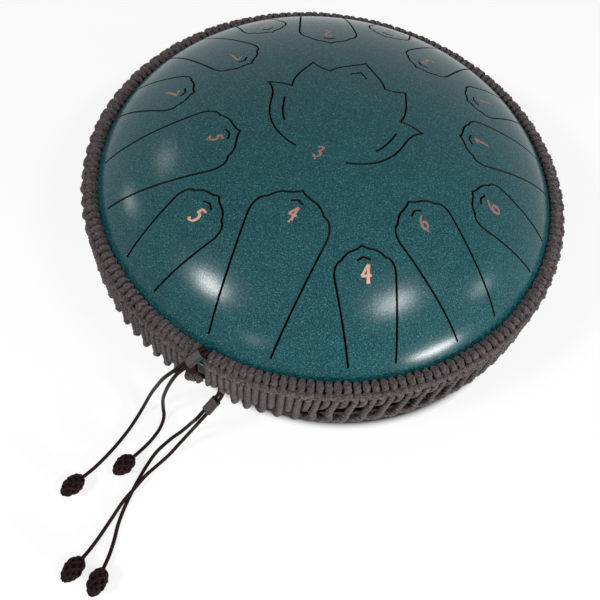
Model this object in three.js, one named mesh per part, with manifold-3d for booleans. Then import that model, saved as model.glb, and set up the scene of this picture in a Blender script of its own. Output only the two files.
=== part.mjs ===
// Steel tongue drum, 14 inch, fifteen notes, with a knotted rope cover round its rim.
// Millimetres, +Z up, origin on the table under the middle of the drum.
// The player sits on the -Y side, where the drawcords leave the cover.

import * as THREE from "three";
import { mergeVertices } from "three/addons/utils/BufferGeometryUtils.js";
import Module from "manifold-3d";

const wasm = await Module();
wasm.setup();

// Sizes of the two pressed steel shells
const shellRadius = 177.5;
const domeHeight = 75;
const bowlDepth = 75;
const profilePower = 1.92; // 2 is an ellipse; a little less makes the shoulder softer
const sheet = 2;
const weldDepth = 1.2;
const groundClearance = 13;
const portRadius = 27;
const aroundSteps = 64;
const domeSteps = 7;
const bowlSteps = 6;
const ringSteps = 36;

// Sizes of the slits that free the tongues
const slitWidth = 1.5;
const slitMargin = 10.5; // steel left between the ends of the slits and the rim
const rootShare = 0.77; // half width of a tongue at its root, as a share of its head
const markDepth = 7.2; // from a tongue's tip to the small roof-shaped slit behind it
const markHalfWidth = 4.6;
const markRise = 2.1;

// The fourteen tongues round the rim, as degrees from the player's side (clockwise is
// positive, seen from above), radius of the tip and half width of the head
const tongues = [
  { turn: 0.9, tip: 68.6, half: 27.4 },
  { turn: 29.9, tip: 102.8, half: 21.2 },
  { turn: -28.4, tip: 100, half: 20 },
  { turn: 57.2, tip: 70.2, half: 26.5 },
  { turn: -55, tip: 80.5, half: 22 },
  { turn: 85, tip: 108.6, half: 19 },
  { turn: -82.5, tip: 105.8, half: 19.6 },
  { turn: 110.8, tip: 85.6, half: 20.8 },
  { turn: -108.5, tip: 89.7, half: 21.1 },
  { turn: 134, tip: 116, half: 18.4 },
  { turn: -131.9, tip: 110, half: 17.8 },
  { turn: 156.9, tip: 86, half: 23.2 },
  { turn: -157, tip: 92.5, half: 20 },
  { turn: 180.8, tip: 119.6, half: 18 },
];

// Sizes of the rubber feet
const footCount = 4;
const footCircle = 78;
const footTopRadius = 14;
const footBottomRadius = 11;
const stemRadius = 4;
const barbRadius = 6.5;
const barbHeight = 5; // above the sheet
const barbGrip = 2; // of the barb's height that isn't tapered
const coneShare = 0.6; // share of a foot's height over which it widens

// Sizes of the rope cover and its two drawcords
const ropeDiameter = 4.5;
const cordDiameter = 2.6;
const pairCount = 96; // pairs of wraps round the drum
const upperRollHeight = 13; // above the seam
const lowerRollHeight = -22;
const rollSlack = 0.8; // that the rope's turns add to cord and rope in a roll
const coverOverhang = 6.6; // how far the crests of the rope stand out past the steel
const skirtShare = 0.7; // of the way down to the lower drawcord that the cover lies on the steel
const wrapDip = 1.3; // how far the rope sinks between two pairs of wraps
const coverSeamAngle = -97.2; // degrees, the slot where the two ends of the cover meet
const coverSeamHalf = 1.2; // degrees
const lowerExitAngle = -93.2; // degrees, where the lower cord's ends come out
const lowerExitHalf = 1.45; // degrees

// Sizes of the whipping that binds the left end of the cover
const postRadius = 1.7;
const threadDiameter = 1;
const threadPitch = 1.5;
const threadTurns = 8;
const whippingHeight = -11.6; // of its lowest turn, from the seam
const postSetback = 1.15; // degrees from the slot back to the middle of the bound strands
const windowMargin = 0.7; // of open space beside the whipping
const postSeat = 2; // how far the bound strands reach into the cover above and below

// Sizes and places of the two cord sliders and the four end knots
const sliderLength = 11;
const sliderWall = 0.65;
const sliderTravel = 8;
const upperSliderInset = 5.2; // of the slider's top from the crests of the rope
const upperSliderRise = 7; // of the slider's top above the upper roll's middle
const upperSliderShift = -0.25; // degrees from the middle of the cover's slot
const upperSliderHeading = new THREE.Vector3(-0.55, -0.66, -0.5).normalize();
const lowerSliderOut = 2.4; // of the slider's top past the crests of the rope
const lowerSliderRise = 1.7; // of the slider's top above the foot of the lower roll
const lowerSliderShift = 0.1; // degrees from the middle of the cord's way out
const lowerSliderHeading = new THREE.Vector3(-0.38, -0.65, -0.65).normalize();
const hookStraight = 0.6; // of a cord square out of its ring, before it bends
const hookReach = 3.6; // how far out of its ring a cord's bend is drawn
const hookLead = 6.5; // how far ahead of its slider a cord starts to line up with it
const hookEnd = 1.6; // where the bend ends, ahead of the slider
const straightLead = 0.4; // where the straight stretch begins, ahead of the slider
const slotLead = 4; // of the cover's slot for the slider, ahead of it
const straightTail = 1; // of straight cord past the slider's farthest place
const knotLength = 17;
const knotThickness = 13;

// Fits
const gap = 0.3; // between pieces that touch
const cordPlay = 0.35; // between a drawcord and what it slides in
const windingPlay = 0.2; // between the whipping and the steel behind it
const cordInset = 0.12; // degrees that a drawcord stays inside the end of its channel

// Places that follow from the sizes
const seamHeight = groundClearance + bowlDepth;
const slitEndRadius = shellRadius - slitMargin;
const rollThickness = cordDiameter + 2 * ropeDiameter + rollSlack;
const coverRadius = shellRadius + coverOverhang;
const rollRadius = rollThickness / 2;
const rollCircle = coverRadius - rollRadius;
const cordRadius = cordDiameter / 2;

const steelPaint = { color: 0x21555b, roughness: 0.42, metalness: 0.35 };
const weldSteel = { color: 0x4a4d50, roughness: 0.5, metalness: 0.9 };
const rubber = { color: 0x1b1b1c, roughness: 0.85, metalness: 0 };
const greyRope = { color: 0x625659, roughness: 0.95, metalness: 0 };
const brownCord = { color: 0x24151a, roughness: 0.8, metalness: 0 };
const brownLeather = { color: 0x2b191c, roughness: 0.6, metalness: 0 };
const brownThread = { color: 0x35211f, roughness: 0.85, metalness: 0 };

const drum = new THREE.Group();

function addPiece(name, solid, finish) {
  const mesh = new THREE.Mesh(geometryOf(solid), new THREE.MeshStandardMaterial(finish));
  mesh.name = name;
  drum.add(mesh);
  return mesh;
}

// Turns a closed three.js geometry into a solid that can be cut and joined
function solidOf(geometry) {
  const bare = geometry.clone();
  bare.deleteAttribute("normal");
  bare.deleteAttribute("uv");
  const merged = mergeVertices(bare, 1e-4);
  const position = merged.attributes.position;
  const corners = [];
  let volume = 0;
  const a = new THREE.Vector3();
  const b = new THREE.Vector3();
  const c = new THREE.Vector3();
  for (let i = 0; i < merged.index.count; i += 3) {
    const [p, q, r] = [0, 1, 2].map((k) => merged.index.getX(i + k));
    if (p === q || q === r || r === p) continue;
    corners.push([p, q, r]);
    a.fromBufferAttribute(position, p);
    b.fromBufferAttribute(position, q);
    c.fromBufferAttribute(position, r);
    volume += a.dot(b.cross(c));
  }
  const facing = volume < 0 ? corners.map((t) => [t[0], t[2], t[1]]) : corners;
  return new wasm.Manifold(new wasm.Mesh({
    numProp: 3,
    vertProperties: new Float32Array(position.array),
    triVerts: new Uint32Array(facing.flat()),
  }));
}

function geometryOf(solid) {
  const mesh = solid.getMesh();
  const geometry = new THREE.BufferGeometry();
  geometry.setAttribute("position", new THREE.BufferAttribute(new Float32Array(mesh.vertProperties), 3));
  geometry.setIndex(new THREE.BufferAttribute(new Uint32Array(mesh.triVerts), 1));
  const flat = geometry.toNonIndexed();
  flat.computeVertexNormals();
  return flat;
}

// Turns a profile of [radius, height] points about the Z axis
function turned(profile, steps) {
  const points = profile.map(([r, z]) => new THREE.Vector2(r, z));
  return solidOf(new THREE.LatheGeometry(points, steps).rotateX(Math.PI / 2));
}

// Extrudes an outline in plan from one height to another
function upright(outline, bottom, top) {
  const shape = new THREE.Shape(outline);
  const geometry = new THREE.ExtrudeGeometry(shape, { depth: top - bottom, bevelEnabled: false });
  return solidOf(geometry.translate(0, 0, bottom));
}

function atAngle(radius, degrees, height) {
  const a = THREE.MathUtils.degToRad(degrees);
  return new THREE.Vector3(radius * Math.cos(a), radius * Math.sin(a), height);
}

// A curve through chosen points, with one section of the tube at each of them
class PointCurve extends THREE.Curve {
  constructor(points) {
    super();
    this.points = points;
  }

  getPoint(t) {
    const place = t * (this.points.length - 1);
    const index = Math.min(Math.floor(place), this.points.length - 2);
    return this.points[index].clone().lerp(this.points[index + 1], place - index);
  }

  getPointAt(u) {
    return this.getPoint(u);
  }

  getTangentAt(u) {
    const last = this.points.length - 1;
    const index = Math.round(u * last);
    const before = this.points[Math.max(index - 1, 0)];
    const after = this.points[Math.min(index + 1, last)];
    return after.clone().sub(before).normalize();
  }
}

function tube(points, radius, sides) {
  const rim = [];
  for (let i = 0; i < sides; i++) {
    const a = (2 * Math.PI * (i + 0.5)) / sides;
    rim.push(new THREE.Vector2(radius * Math.cos(a), radius * Math.sin(a)));
  }
  return solidOf(new THREE.ExtrudeGeometry(new THREE.Shape(rim), {
    steps: points.length - 1,
    extrudePath: new PointCurve(points),
    bevelEnabled: false,
  }));
}

// Half of a pressed shell: radius and height of its outer face, offset inwards by inset.
// The profile is a superellipse, so the middle is nearly flat and the rim stands upright.
function pressedProfile(depth, inset, steps) {
  const points = [];
  for (let i = 0; i <= steps; i++) {
    const a = (Math.PI / 2) * (i / steps);
    const radius = (shellRadius - inset) * Math.sin(a) ** (2 / profilePower);
    const height = (depth - inset) * Math.cos(a) ** (2 / profilePower);
    points.push([radius, i === steps ? 0 : height]);
  }
  return points;
}

// Outer radius of the steel at a height above or below the seam
function steelRadius(height) {
  const depth = height > 0 ? domeHeight : bowlDepth;
  return shellRadius * (1 - (Math.abs(height) / depth) ** profilePower) ** (1 / profilePower);
}

// A pressed sheet with the weld groove cut along its outer edge, the hollow side down
function pressedSheet(depth, steps) {
  const outer = pressedProfile(depth, 0, steps);
  const inner = pressedProfile(depth, sheet, steps);
  outer.pop();
  outer.push([shellRadius, weldDepth], [shellRadius - weldDepth, 0]);
  return [...inner, ...outer.reverse()];
}

// A slit of even width along a bent line in plan
function ribbon(line, width) {
  const left = [];
  const right = [];
  line.forEach((point, i) => {
    const before = line[Math.max(i - 1, 0)];
    const after = line[Math.min(i + 1, line.length - 1)];
    const into = point.clone().sub(before).normalize();
    const out = after.clone().sub(point).normalize();
    if (i === 0) into.copy(out);
    if (i === line.length - 1) out.copy(into);
    const along = into.clone().add(out).normalize();
    const across = new THREE.Vector2(-along.y, along.x);
    const reach = width / 2 / Math.max(along.dot(out), 0.4);
    left.push(point.clone().addScaledVector(across, reach));
    right.push(point.clone().addScaledVector(across, -reach));
  });
  return [...left, ...right.reverse()];
}

// Half of a tongue's outline from the tip to the root, like the edge of a lotus petal: a
// flick at the tip, a lobe, a notch and a shoulder, in units of the half width of the head
function petalEdge() {
  const edge = new THREE.CurvePath();
  const tip = new THREE.Vector2(0, 0);
  const lobe = new THREE.Vector2(0.165, 0.38);
  const notch = new THREE.Vector2(0.42, 0.715);
  const widest = new THREE.Vector2(0.92, 1);
  edge.add(new THREE.CubicBezierCurve(
    tip, new THREE.Vector2(0.085, 0.1), new THREE.Vector2(0.135, 0.24), lobe));
  edge.add(new THREE.CubicBezierCurve(
    lobe, new THREE.Vector2(0.195, 0.5), new THREE.Vector2(0.3, 0.64), notch));
  edge.add(new THREE.CubicBezierCurve(
    notch, new THREE.Vector2(0.44, 0.86), new THREE.Vector2(0.6, 1), widest));
  const steps = [2, 2, 3];
  return edge.curves.flatMap((curve, i) => curve.getPoints(steps[i]).slice(i === 0 ? 0 : 1));
}

// Places a point given as distance in from the tip and distance to the side
function onTongue(tongue, along, side) {
  const heading = THREE.MathUtils.degToRad(-90 - tongue.turn);
  const radius = tongue.tip + along;
  return new THREE.Vector2(
    radius * Math.cos(heading) - side * Math.sin(heading),
    radius * Math.sin(heading) + side * Math.cos(heading));
}

function tongueOutline(tongue) {
  const rootHalf = rootShare * tongue.half;
  const rootAlong = Math.sqrt(slitEndRadius ** 2 - rootHalf ** 2) - tongue.tip;
  const half = petalEdge().map((p) => p.multiplyScalar(tongue.half));
  half.push(new THREE.Vector2(rootAlong, rootHalf));
  const oneSide = half.map((p) => onTongue(tongue, p.x, p.y));
  const otherSide = half.slice(1).map((p) => onTongue(tongue, p.x, -p.y));
  return [...oneSide.reverse(), ...otherSide];
}

function tongueMark(tongue) {
  return [
    onTongue(tongue, markDepth + markRise, -markHalfWidth),
    onTongue(tongue, markDepth, 0),
    onTongue(tongue, markDepth + markRise, markHalfWidth),
  ];
}

// Right half of the lotus, from the root of the centre tongue up to its middle petal
function lotusEdge() {
  const at = (x, y) => new THREE.Vector2(x, y);
  const root = at(18, -37.8);
  const lowPetal = at(50, -4);
  const lowTip = at(59, 12.7);
  const lowValley = at(41.4, 14.6);
  const sideTip = at(36.8, 46.4);
  const sideValley = at(21.4, 41.7);
  const middleTip = at(0, 64.2);
  return [
    new THREE.CubicBezierCurve(root, at(36, -33), at(47, -22), lowPetal),
    new THREE.QuadraticBezierCurve(lowPetal, at(51.8, 8), lowTip),
    new THREE.QuadraticBezierCurve(lowTip, at(50, 15.5), lowValley),
    new THREE.CubicBezierCurve(lowValley, at(44.5, 24), at(41, 33), sideTip),
    new THREE.QuadraticBezierCurve(sideTip, at(29, 41.5), sideValley),
    new THREE.CubicBezierCurve(sideValley, at(19.5, 49), at(8, 55), middleTip),
  ];
}

function mirrored(line) {
  return line.map((p) => new THREE.Vector2(-p.x, p.y));
}

function lotusLines() {
  const steps = [5, 2, 2, 4, 2, 4];
  const right = lotusEdge().flatMap((curve, i) => curve.getPoints(steps[i]).slice(i === 0 ? 0 : 1));
  const outline = [...right, ...mirrored(right.slice(0, -1)).reverse()];
  const vein = new THREE.QuadraticBezierCurve(
    new THREE.Vector2(42, 2.2), new THREE.Vector2(39.5, -12), new THREE.Vector2(33.5, -19.9));
  const veinPoints = vein.getPoints(3);
  const mark = [[-6.3, 45.3], [0, 50.7], [6.3, 45.3]].map(([x, y]) => new THREE.Vector2(x, y));
  return [outline, veinPoints, mirrored(veinPoints), mark];
}

function upperShell() {
  let shell = turned(pressedSheet(domeHeight, domeSteps), aroundSteps).translate([0, 0, seamHeight]);
  const lines = [...tongues.map(tongueOutline), ...tongues.map(tongueMark), ...lotusLines()];
  for (const line of lines) {
    shell = shell.subtract(upright(ribbon(line, slitWidth), seamHeight, seamHeight + domeHeight + sheet));
  }
  return shell;
}

function footPlace(index) {
  return atAngle(footCircle, 45 + (360 / footCount) * index, 0);
}

function lowerShell() {
  const profile = pressedSheet(bowlDepth, bowlSteps).map(([r, z]) => [r, -z]).reverse();
  let shell = turned(profile, aroundSteps).translate([0, 0, seamHeight]);
  const port = [[0, 0], [portRadius, 0], [portRadius, seamHeight], [0, seamHeight]];
  shell = shell.subtract(turned(port, 32));
  const hole = [[0, 0], [stemRadius, 0], [stemRadius, seamHeight], [0, seamHeight]];
  for (let i = 0; i < footCount; i++) {
    const place = footPlace(i);
    shell = shell.subtract(turned(hole, 12).translate([place.x, place.y, 0]));
  }
  return shell;
}

// The bead that fills the groove between the shells, ground flush with the steel
function rimWeld() {
  const reach = weldDepth - gap * Math.SQRT2;
  const profile = [
    [shellRadius - reach, seamHeight],
    [shellRadius, seamHeight - reach],
    [shellRadius, seamHeight + reach],
    [shellRadius - reach, seamHeight],
  ];
  return turned(profile, aroundSteps);
}

// A rubber foot under the bowl: a cone on the table, a stem through the bowl and a barb inside
function foot(index) {
  const place = footPlace(index);
  const rise = seamHeight - bowlDepth * (1 - (footCircle / shellRadius) ** profilePower) ** (1 / profilePower);
  const outside = bowlSolid(-gap);
  const inside = bowlSolid(sheet + gap);
  const cone = turned([
    [0, 0], [footBottomRadius, 0], [footTopRadius, rise * coneShare],
    [footTopRadius, rise + footTopRadius], [0, rise + footTopRadius],
  ], 16);
  const barbTop = rise + sheet + barbHeight;
  const barb = turned([
    [0, rise - barbRadius], [barbRadius, rise - barbRadius], [barbRadius, rise + sheet + barbGrip],
    [stemRadius, barbTop], [0, barbTop],
  ], 12);
  const neck = stemRadius - gap;
  const stemTop = barbTop - gap;
  const stem = turned([[0, rise / 2], [neck, rise / 2], [neck, stemTop], [0, stemTop]], 12);
  const move = [place.x, place.y, 0];
  return cone.translate(move).subtract(outside)
    .add(barb.translate(move).intersect(inside))
    .add(stem.translate(move));
}

// The space inside the bowl's sheet at an inset from its outer face
function bowlSolid(inset) {
  const profile = pressedProfile(bowlDepth, inset, bowlSteps).map(([r, z]) => [r, -z]);
  return turned([...profile, [0, 0]], aroundSteps).translate([0, 0, seamHeight]);
}

// Section of the rope cover: a roll over each drawcord and a skirt of strands between them.
// The dip draws the outside in between two pairs of wraps.
function coverSection(dip) {
  const section = [];
  const roll = (height, angles) => {
    for (const degrees of angles) {
      const a = THREE.MathUtils.degToRad(degrees);
      const radius = rollRadius - dip;
      section.push([rollCircle + radius * Math.cos(a), height + radius * Math.sin(a)]);
    }
  };
  const bearing = (height) => section.push([steelRadius(height) + gap, height]);
  roll(lowerRollHeight, [225, 290, 355]);
  section.push([shellRadius + gap + ropeDiameter - dip / 2, (upperRollHeight + lowerRollHeight) / 2]);
  roll(upperRollHeight, [0, 65, 140]);
  bearing(upperRollHeight);
  bearing(weldDepth);
  bearing(-weldDepth);
  bearing(lowerRollHeight * skirtShare);
  return section;
}

// Joins sections at equal steps between two angles into one closed ring with end faces
function sweptCover(from, to) {
  const stations = 2 * pairCount;
  const sections = [];
  for (let i = 0; i <= stations; i++) {
    const angle = from + ((to - from) * i) / stations;
    const dip = i % 2 === 0 ? wrapDip : 0;
    sections.push(coverSection(dip).map(([r, z]) => atAngle(r, angle, seamHeight + z)));
  }
  const count = sections[0].length;
  const position = sections.flat().flatMap((p) => [p.x, p.y, p.z]);
  const index = [];
  for (let i = 0; i < stations; i++) {
    for (let k = 0; k < count; k++) {
      const a = i * count + k;
      const b = i * count + ((k + 1) % count);
      index.push(a, b, a + count, b, b + count, a + count);
    }
  }
  const face = coverSection(wrapDip).map(([r, z]) => new THREE.Vector2(r, z));
  const last = stations * count;
  for (const [p, q, r] of THREE.ShapeUtils.triangulateShape(face, [])) {
    index.push(p, r, q, last + p, last + q, last + r);
  }
  const geometry = new THREE.BufferGeometry();
  geometry.setAttribute("position", new THREE.Float32BufferAttribute(position, 3));
  geometry.setIndex(index);
  return solidOf(geometry);
}

// Points on a level arc about the middle of the drum
function rimArc(radius, from, to, height, steps) {
  const points = [];
  for (let i = 0; i <= steps; i++) {
    points.push(atAngle(radius, from + ((to - from) * i) / steps, height));
  }
  return points;
}

const seamFrom = coverSeamAngle + coverSeamHalf;
const seamTo = coverSeamAngle - coverSeamHalf + 360;

// Where each slider sits, where its cords lead it, and the ends of its drawcord's ring
const upperExit = {
  height: seamHeight + upperRollHeight,
  from: coverSeamAngle + coverSeamHalf + cordInset,
  to: coverSeamAngle - coverSeamHalf - cordInset + 360,
  start: atAngle(coverRadius - upperSliderInset, coverSeamAngle + upperSliderShift,
    seamHeight + upperRollHeight + upperSliderRise),
  heading: upperSliderHeading,
};
const lowerExit = {
  height: seamHeight + lowerRollHeight,
  from: lowerExitAngle + lowerExitHalf + cordInset,
  to: lowerExitAngle - lowerExitHalf - cordInset + 360,
  start: atAngle(coverRadius + lowerSliderOut, lowerExitAngle + lowerSliderShift,
    seamHeight + lowerRollHeight - rollRadius + lowerSliderRise),
  heading: lowerSliderHeading,
};

function drawcordLine(exit) {
  return rimArc(rollCircle, exit.from, exit.to, exit.height, ringSteps);
}

// The way of a drawcord through the cover, which runs on straight past the cord's ends
function drawcordChannel(exit) {
  const line = drawcordLine(exit);
  const pastEnd = (end, before) => end.clone().addScaledVector(end.clone().sub(before).normalize(), cordDiameter);
  const first = pastEnd(line[0], line[1]);
  const last = pastEnd(line[ringSteps], line[ringSteps - 1]);
  return tube([first, ...line, last], cordRadius + cordPlay, 6);
}

// Level direction across a slider, from one of its cords to the other
function acrossSlider(exit) {
  return new THREE.Vector3(0, 0, 1).cross(exit.heading).normalize();
}

// A flat oval ring about a slider's line, grown on all sides by extra
function sliderBar(exit, start, length, extra) {
  const halfHeight = cordRadius + cordPlay + sliderWall + extra;
  const straight = cordRadius + cordPlay / 2;
  return ovalBar(exit, start, length, halfHeight, straight);
}

function ovalBar(exit, start, length, halfHeight, straight) {
  const oval = new THREE.Shape();
  oval.absarc(straight, 0, halfHeight, -Math.PI / 2, Math.PI / 2, false);
  oval.absarc(-straight, 0, halfHeight, Math.PI / 2, (3 * Math.PI) / 2, false);
  const geometry = new THREE.ExtrudeGeometry(oval, { depth: length, bevelEnabled: false, curveSegments: 5 });
  const across = acrossSlider(exit);
  const up = exit.heading.clone().cross(across);
  const origin = exit.start.clone().addScaledVector(exit.heading, start);
  const place = new THREE.Matrix4().makeBasis(across, up, exit.heading).setPosition(origin);
  return solidOf(geometry.applyMatrix4(place));
}

function cordSlider(exit) {
  const body = sliderBar(exit, 0, sliderLength, 0);
  const bore = ovalBar(exit, -1, sliderLength + 2, cordRadius + cordPlay, cordRadius + cordPlay / 2);
  return body.subtract(bore);
}

// A drawcord's free end: out of its ring, through the slider and along its own route.
// Route points are across, out past the cover and up, chosen by hand.
function cordTail(exit, side, route) {
  const ringAngle = side > 0 ? exit.from : exit.to;
  const ringEnd = atAngle(rollCircle, ringAngle, exit.height);
  const outOfRing = atAngle(rollCircle, ringAngle - side * 90, 0).normalize();
  const lane = exit.start.clone().addScaledVector(acrossSlider(exit), side * (cordRadius + cordPlay / 2));
  const hookStart = ringEnd.clone().addScaledVector(outOfRing, gap);
  const hook = new THREE.CubicBezierCurve3(
    ringEnd.clone().addScaledVector(outOfRing, gap + hookStraight),
    ringEnd.clone().addScaledVector(outOfRing, hookReach),
    lane.clone().addScaledVector(exit.heading, -hookLead),
    lane.clone().addScaledVector(exit.heading, -hookEnd));
  const straight = [-straightLead, sliderLength / 2, sliderLength + sliderTravel + straightTail].map(
    (length) => lane.clone().addScaledVector(exit.heading, length));
  const free = route.map(([x, out, z]) => new THREE.Vector3(x, -coverRadius - out, z));
  return [hookStart, ...hook.getPoints(4), ...straight, ...free];
}

// An end knot, an egg that lies along the last stretch of its cord
function endKnot(points) {
  const end = points[points.length - 1];
  const heading = end.clone().sub(points[points.length - 2]).normalize();
  const egg = new THREE.SphereGeometry(1, 12, 8).scale(knotThickness / 2, knotThickness / 2, knotLength / 2);
  const turn = new THREE.Quaternion().setFromUnitVectors(new THREE.Vector3(0, 0, 1), heading);
  const middle = end.clone().addScaledVector(heading, knotLength / 2 + gap);
  return solidOf(egg.applyQuaternion(turn).translate(middle.x, middle.y, middle.z));
}

// The thread wound round the end of the cover, one tube from its first turn to its last
function whippingThread() {
  const post = postPlace();
  const stepsPerTurn = 8;
  const radius = postRadius + gap + threadDiameter / 2;
  const points = [];
  for (let i = 0; i <= threadTurns * stepsPerTurn; i++) {
    const a = (2 * Math.PI * i) / stepsPerTurn;
    const height = seamHeight + whippingHeight + (threadPitch * i) / stepsPerTurn;
    points.push(new THREE.Vector3(post.x + radius * Math.cos(a), post.y + radius * Math.sin(a), height));
  }
  return points;
}

function postPlace() {
  const reach = postRadius + gap + threadDiameter;
  const angle = coverSeamAngle - coverSeamHalf - postSetback;
  return atAngle(shellRadius + gap + reach + windingPlay, angle, 0);
}

// The least distance between the surfaces of turns of one tube, measured on its points
function leastGap(points, diameter, apart) {
  let least = Infinity;
  points.forEach((p, i) => {
    for (let k = i + apart; k < points.length; k++) least = Math.min(least, p.distanceTo(points[k]));
  });
  return least - diameter;
}

function ropeCover() {
  const windowHalf = postRadius + 2 * gap + threadDiameter + windowMargin;
  const windowBottom = seamHeight + whippingHeight - threadDiameter / 2 - gap;
  const windowTop = windowBottom + threadTurns * threadPitch + threadDiameter + 2 * gap;
  const post = postPlace();
  const window = new THREE.BoxGeometry(2 * windowHalf, 4 * rollRadius, windowTop - windowBottom);
  window.rotateZ(Math.atan2(post.y, post.x) + Math.PI / 2);
  window.translate(post.x, post.y, (windowTop + windowBottom) / 2);
  const strands = turned([
    [0, windowBottom - postSeat], [postRadius, windowBottom - postSeat],
    [postRadius, windowTop + postSeat], [0, windowTop + postSeat],
  ], 10).translate([post.x, post.y, 0]);
  let cover = sweptCover(seamFrom, seamTo);
  cover = cover.subtract(drawcordChannel(upperExit));
  cover = cover.subtract(drawcordChannel(lowerExit));
  cover = cover.subtract(solidOf(window)).add(strands);
  cover = cover.subtract(sliderBar(upperExit, -slotLead, slotLead + sliderLength + sliderTravel + straightTail, gap));
  return cover.subtract(lowerExitSlot());
}

// The slot between two loops of the rope where the lower cord's ends come out, below
function lowerExitSlot() {
  const width = 2 * rollCircle * Math.tan(THREE.MathUtils.degToRad(lowerExitHalf));
  const inner = rollCircle - cordRadius - 2 * cordPlay;
  const outer = coverRadius + ropeDiameter;
  const top = lowerExit.height + cordRadius + cordPlay;
  const bottom = lowerExit.height - rollThickness;
  const slot = new THREE.BoxGeometry(outer - inner, width, top - bottom);
  slot.translate((outer + inner) / 2, 0, (top + bottom) / 2);
  return solidOf(slot.rotateZ(THREE.MathUtils.degToRad(lowerExitAngle)));
}

// Routes of the four free ends, from the sliders down to the table
const resting = cordRadius + gap;
const crossing = resting + cordDiameter + 2 * gap;
const upperTailLong = cordTail(upperExit, -1, [
  [-43, 8.4, 84], [-51.1, 7.6, 60], [-58.7, 7.2, 36], [-64.9, 9.4, 14], [-67.9, 15.1, 4],
  [-69.6, 25.7, resting], [-71.9, 37.9, resting], [-75.1, 49.6, resting], [-78.4, 59.7, 2.6], [-81.3, 67.9, 5.5],
]);
const upperTailShort = cordTail(upperExit, 1, [
  [-39.5, 9.4, 78], [-45.4, 8.5, 54], [-50.3, 6.6, 30], [-51.8, 6.7, 12], [-50.3, 10.3, 3.4],
  [-49.6, 17.4, resting], [-50.7, 25.5, resting], [-52.7, 32.6, 2], [-55, 40.2, 4.6], [-56.2, 43.8, 6],
]);
const lowerTailLong = cordTail(lowerExit, -1, [
  [-24.5, 13.4, 30], [-31.5, 17.2, 14], [-38.5, 23.5, 4.5], [-43.8, 33.8, resting], [-45.6, 44.1, resting],
  [-46.4, 54.4, resting], [-46.6, 65.2, resting], [-46.2, 76, resting], [-44.8, 86.3, resting],
  [-42.4, 95.6, resting], [-40.6, 104.9, 2.8], [-39.6, 112.7, 5.6],
]);
const lowerTailShort = cordTail(lowerExit, 1, [
  [-23, 18.9, 28], [-29.4, 25.2, 12], [-34.7, 34, 3.6], [-39.1, 42.8, 2.4], [-42.4, 51.6, crossing],
  [-45.4, 61.9, crossing], [-48.4, 71.7, 4.2], [-50.8, 84, resting], [-52.5, 96.3, resting],
  [-53.9, 105.6, 3.2], [-55, 111.9, 5.8],
]);

addPiece("upper_shell", upperShell(), steelPaint);
addPiece("lower_shell", lowerShell(), steelPaint);
addPiece("rim_weld", rimWeld(), weldSteel);
for (let i = 0; i < footCount; i++) addPiece(`foot_${i + 1}`, foot(i), rubber);
addPiece("rope_cover", ropeCover(), greyRope);
const thread = whippingThread();
addPiece("end_whipping", tube(thread, threadDiameter / 2, 5), brownThread);
console.log(`least gap between whipping turns ${leastGap(thread, threadDiameter, 4).toFixed(2)} mm`);
addPiece("upper_drawcord", tube(drawcordLine(upperExit), cordRadius, 6), brownCord);
addPiece("lower_drawcord", tube(drawcordLine(lowerExit), cordRadius, 6), brownCord);
addPiece("upper_cord_slider", cordSlider(upperExit), brownLeather);
addPiece("lower_cord_slider", cordSlider(lowerExit), brownLeather);
addPiece("upper_tail_long", tube(upperTailLong, cordRadius, 8), brownCord);
addPiece("upper_tail_short", tube(upperTailShort, cordRadius, 8), brownCord);
addPiece("lower_tail_long", tube(lowerTailLong, cordRadius, 8), brownCord);
addPiece("lower_tail_short", tube(lowerTailShort, cordRadius, 8), brownCord);
addPiece("upper_knot_long", endKnot(upperTailLong), brownCord);
addPiece("upper_knot_short", endKnot(upperTailShort), brownCord);
addPiece("lower_knot_long", endKnot(lowerTailLong), brownCord);
addPiece("lower_knot_short", endKnot(lowerTailShort), brownCord);

export default drum;
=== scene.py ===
"""Steel tongue drum with a knotted rope cover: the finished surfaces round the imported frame."""

import math
import random

import bmesh
import bpy
import numpy as np
from mathutils import Matrix, Vector


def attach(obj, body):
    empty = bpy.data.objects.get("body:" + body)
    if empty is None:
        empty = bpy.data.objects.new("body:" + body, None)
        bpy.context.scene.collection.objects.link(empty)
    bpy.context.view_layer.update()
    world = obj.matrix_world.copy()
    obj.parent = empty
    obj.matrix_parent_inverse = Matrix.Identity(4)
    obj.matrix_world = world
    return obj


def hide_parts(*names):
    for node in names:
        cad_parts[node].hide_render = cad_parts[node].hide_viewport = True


bl_info = {
    "name": "Tongue drum",
    "version": (1, 0, 0),
    "blender": (4, 5, 0),
    "location": "3D View > Sidebar > Drum",
    "description": "Builds a steel tongue drum with a knotted rope cover round its packed frame",
    "category": "Add Mesh",
}

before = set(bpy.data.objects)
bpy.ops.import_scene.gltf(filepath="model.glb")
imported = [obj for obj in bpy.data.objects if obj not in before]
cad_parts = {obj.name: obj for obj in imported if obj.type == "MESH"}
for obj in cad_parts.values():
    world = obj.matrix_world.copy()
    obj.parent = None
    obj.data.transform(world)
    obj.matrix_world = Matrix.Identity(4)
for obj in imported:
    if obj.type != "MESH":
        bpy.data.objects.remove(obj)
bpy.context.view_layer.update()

MM = 0.001


def linear(code):
    """An sRGB hex colour as linear red, green, blue."""
    parts = [int(code[i:i + 2], 16) / 255 for i in (1, 3, 5)]
    return [c / 12.92 if c <= 0.04045 else ((c + 0.055) / 1.055) ** 2.4 for c in parts]


def length_property(name, description, millimetres):
    return bpy.props.FloatProperty(
        name=name, description=description, default=millimetres * MM, min=0.0,
        unit="LENGTH", subtype="DISTANCE", precision=5)


def colour_property(name, description, code):
    return bpy.props.FloatVectorProperty(
        name=name, description=description, default=linear(code), size=3,
        min=0.0, max=1.0, subtype="COLOR")


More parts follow.
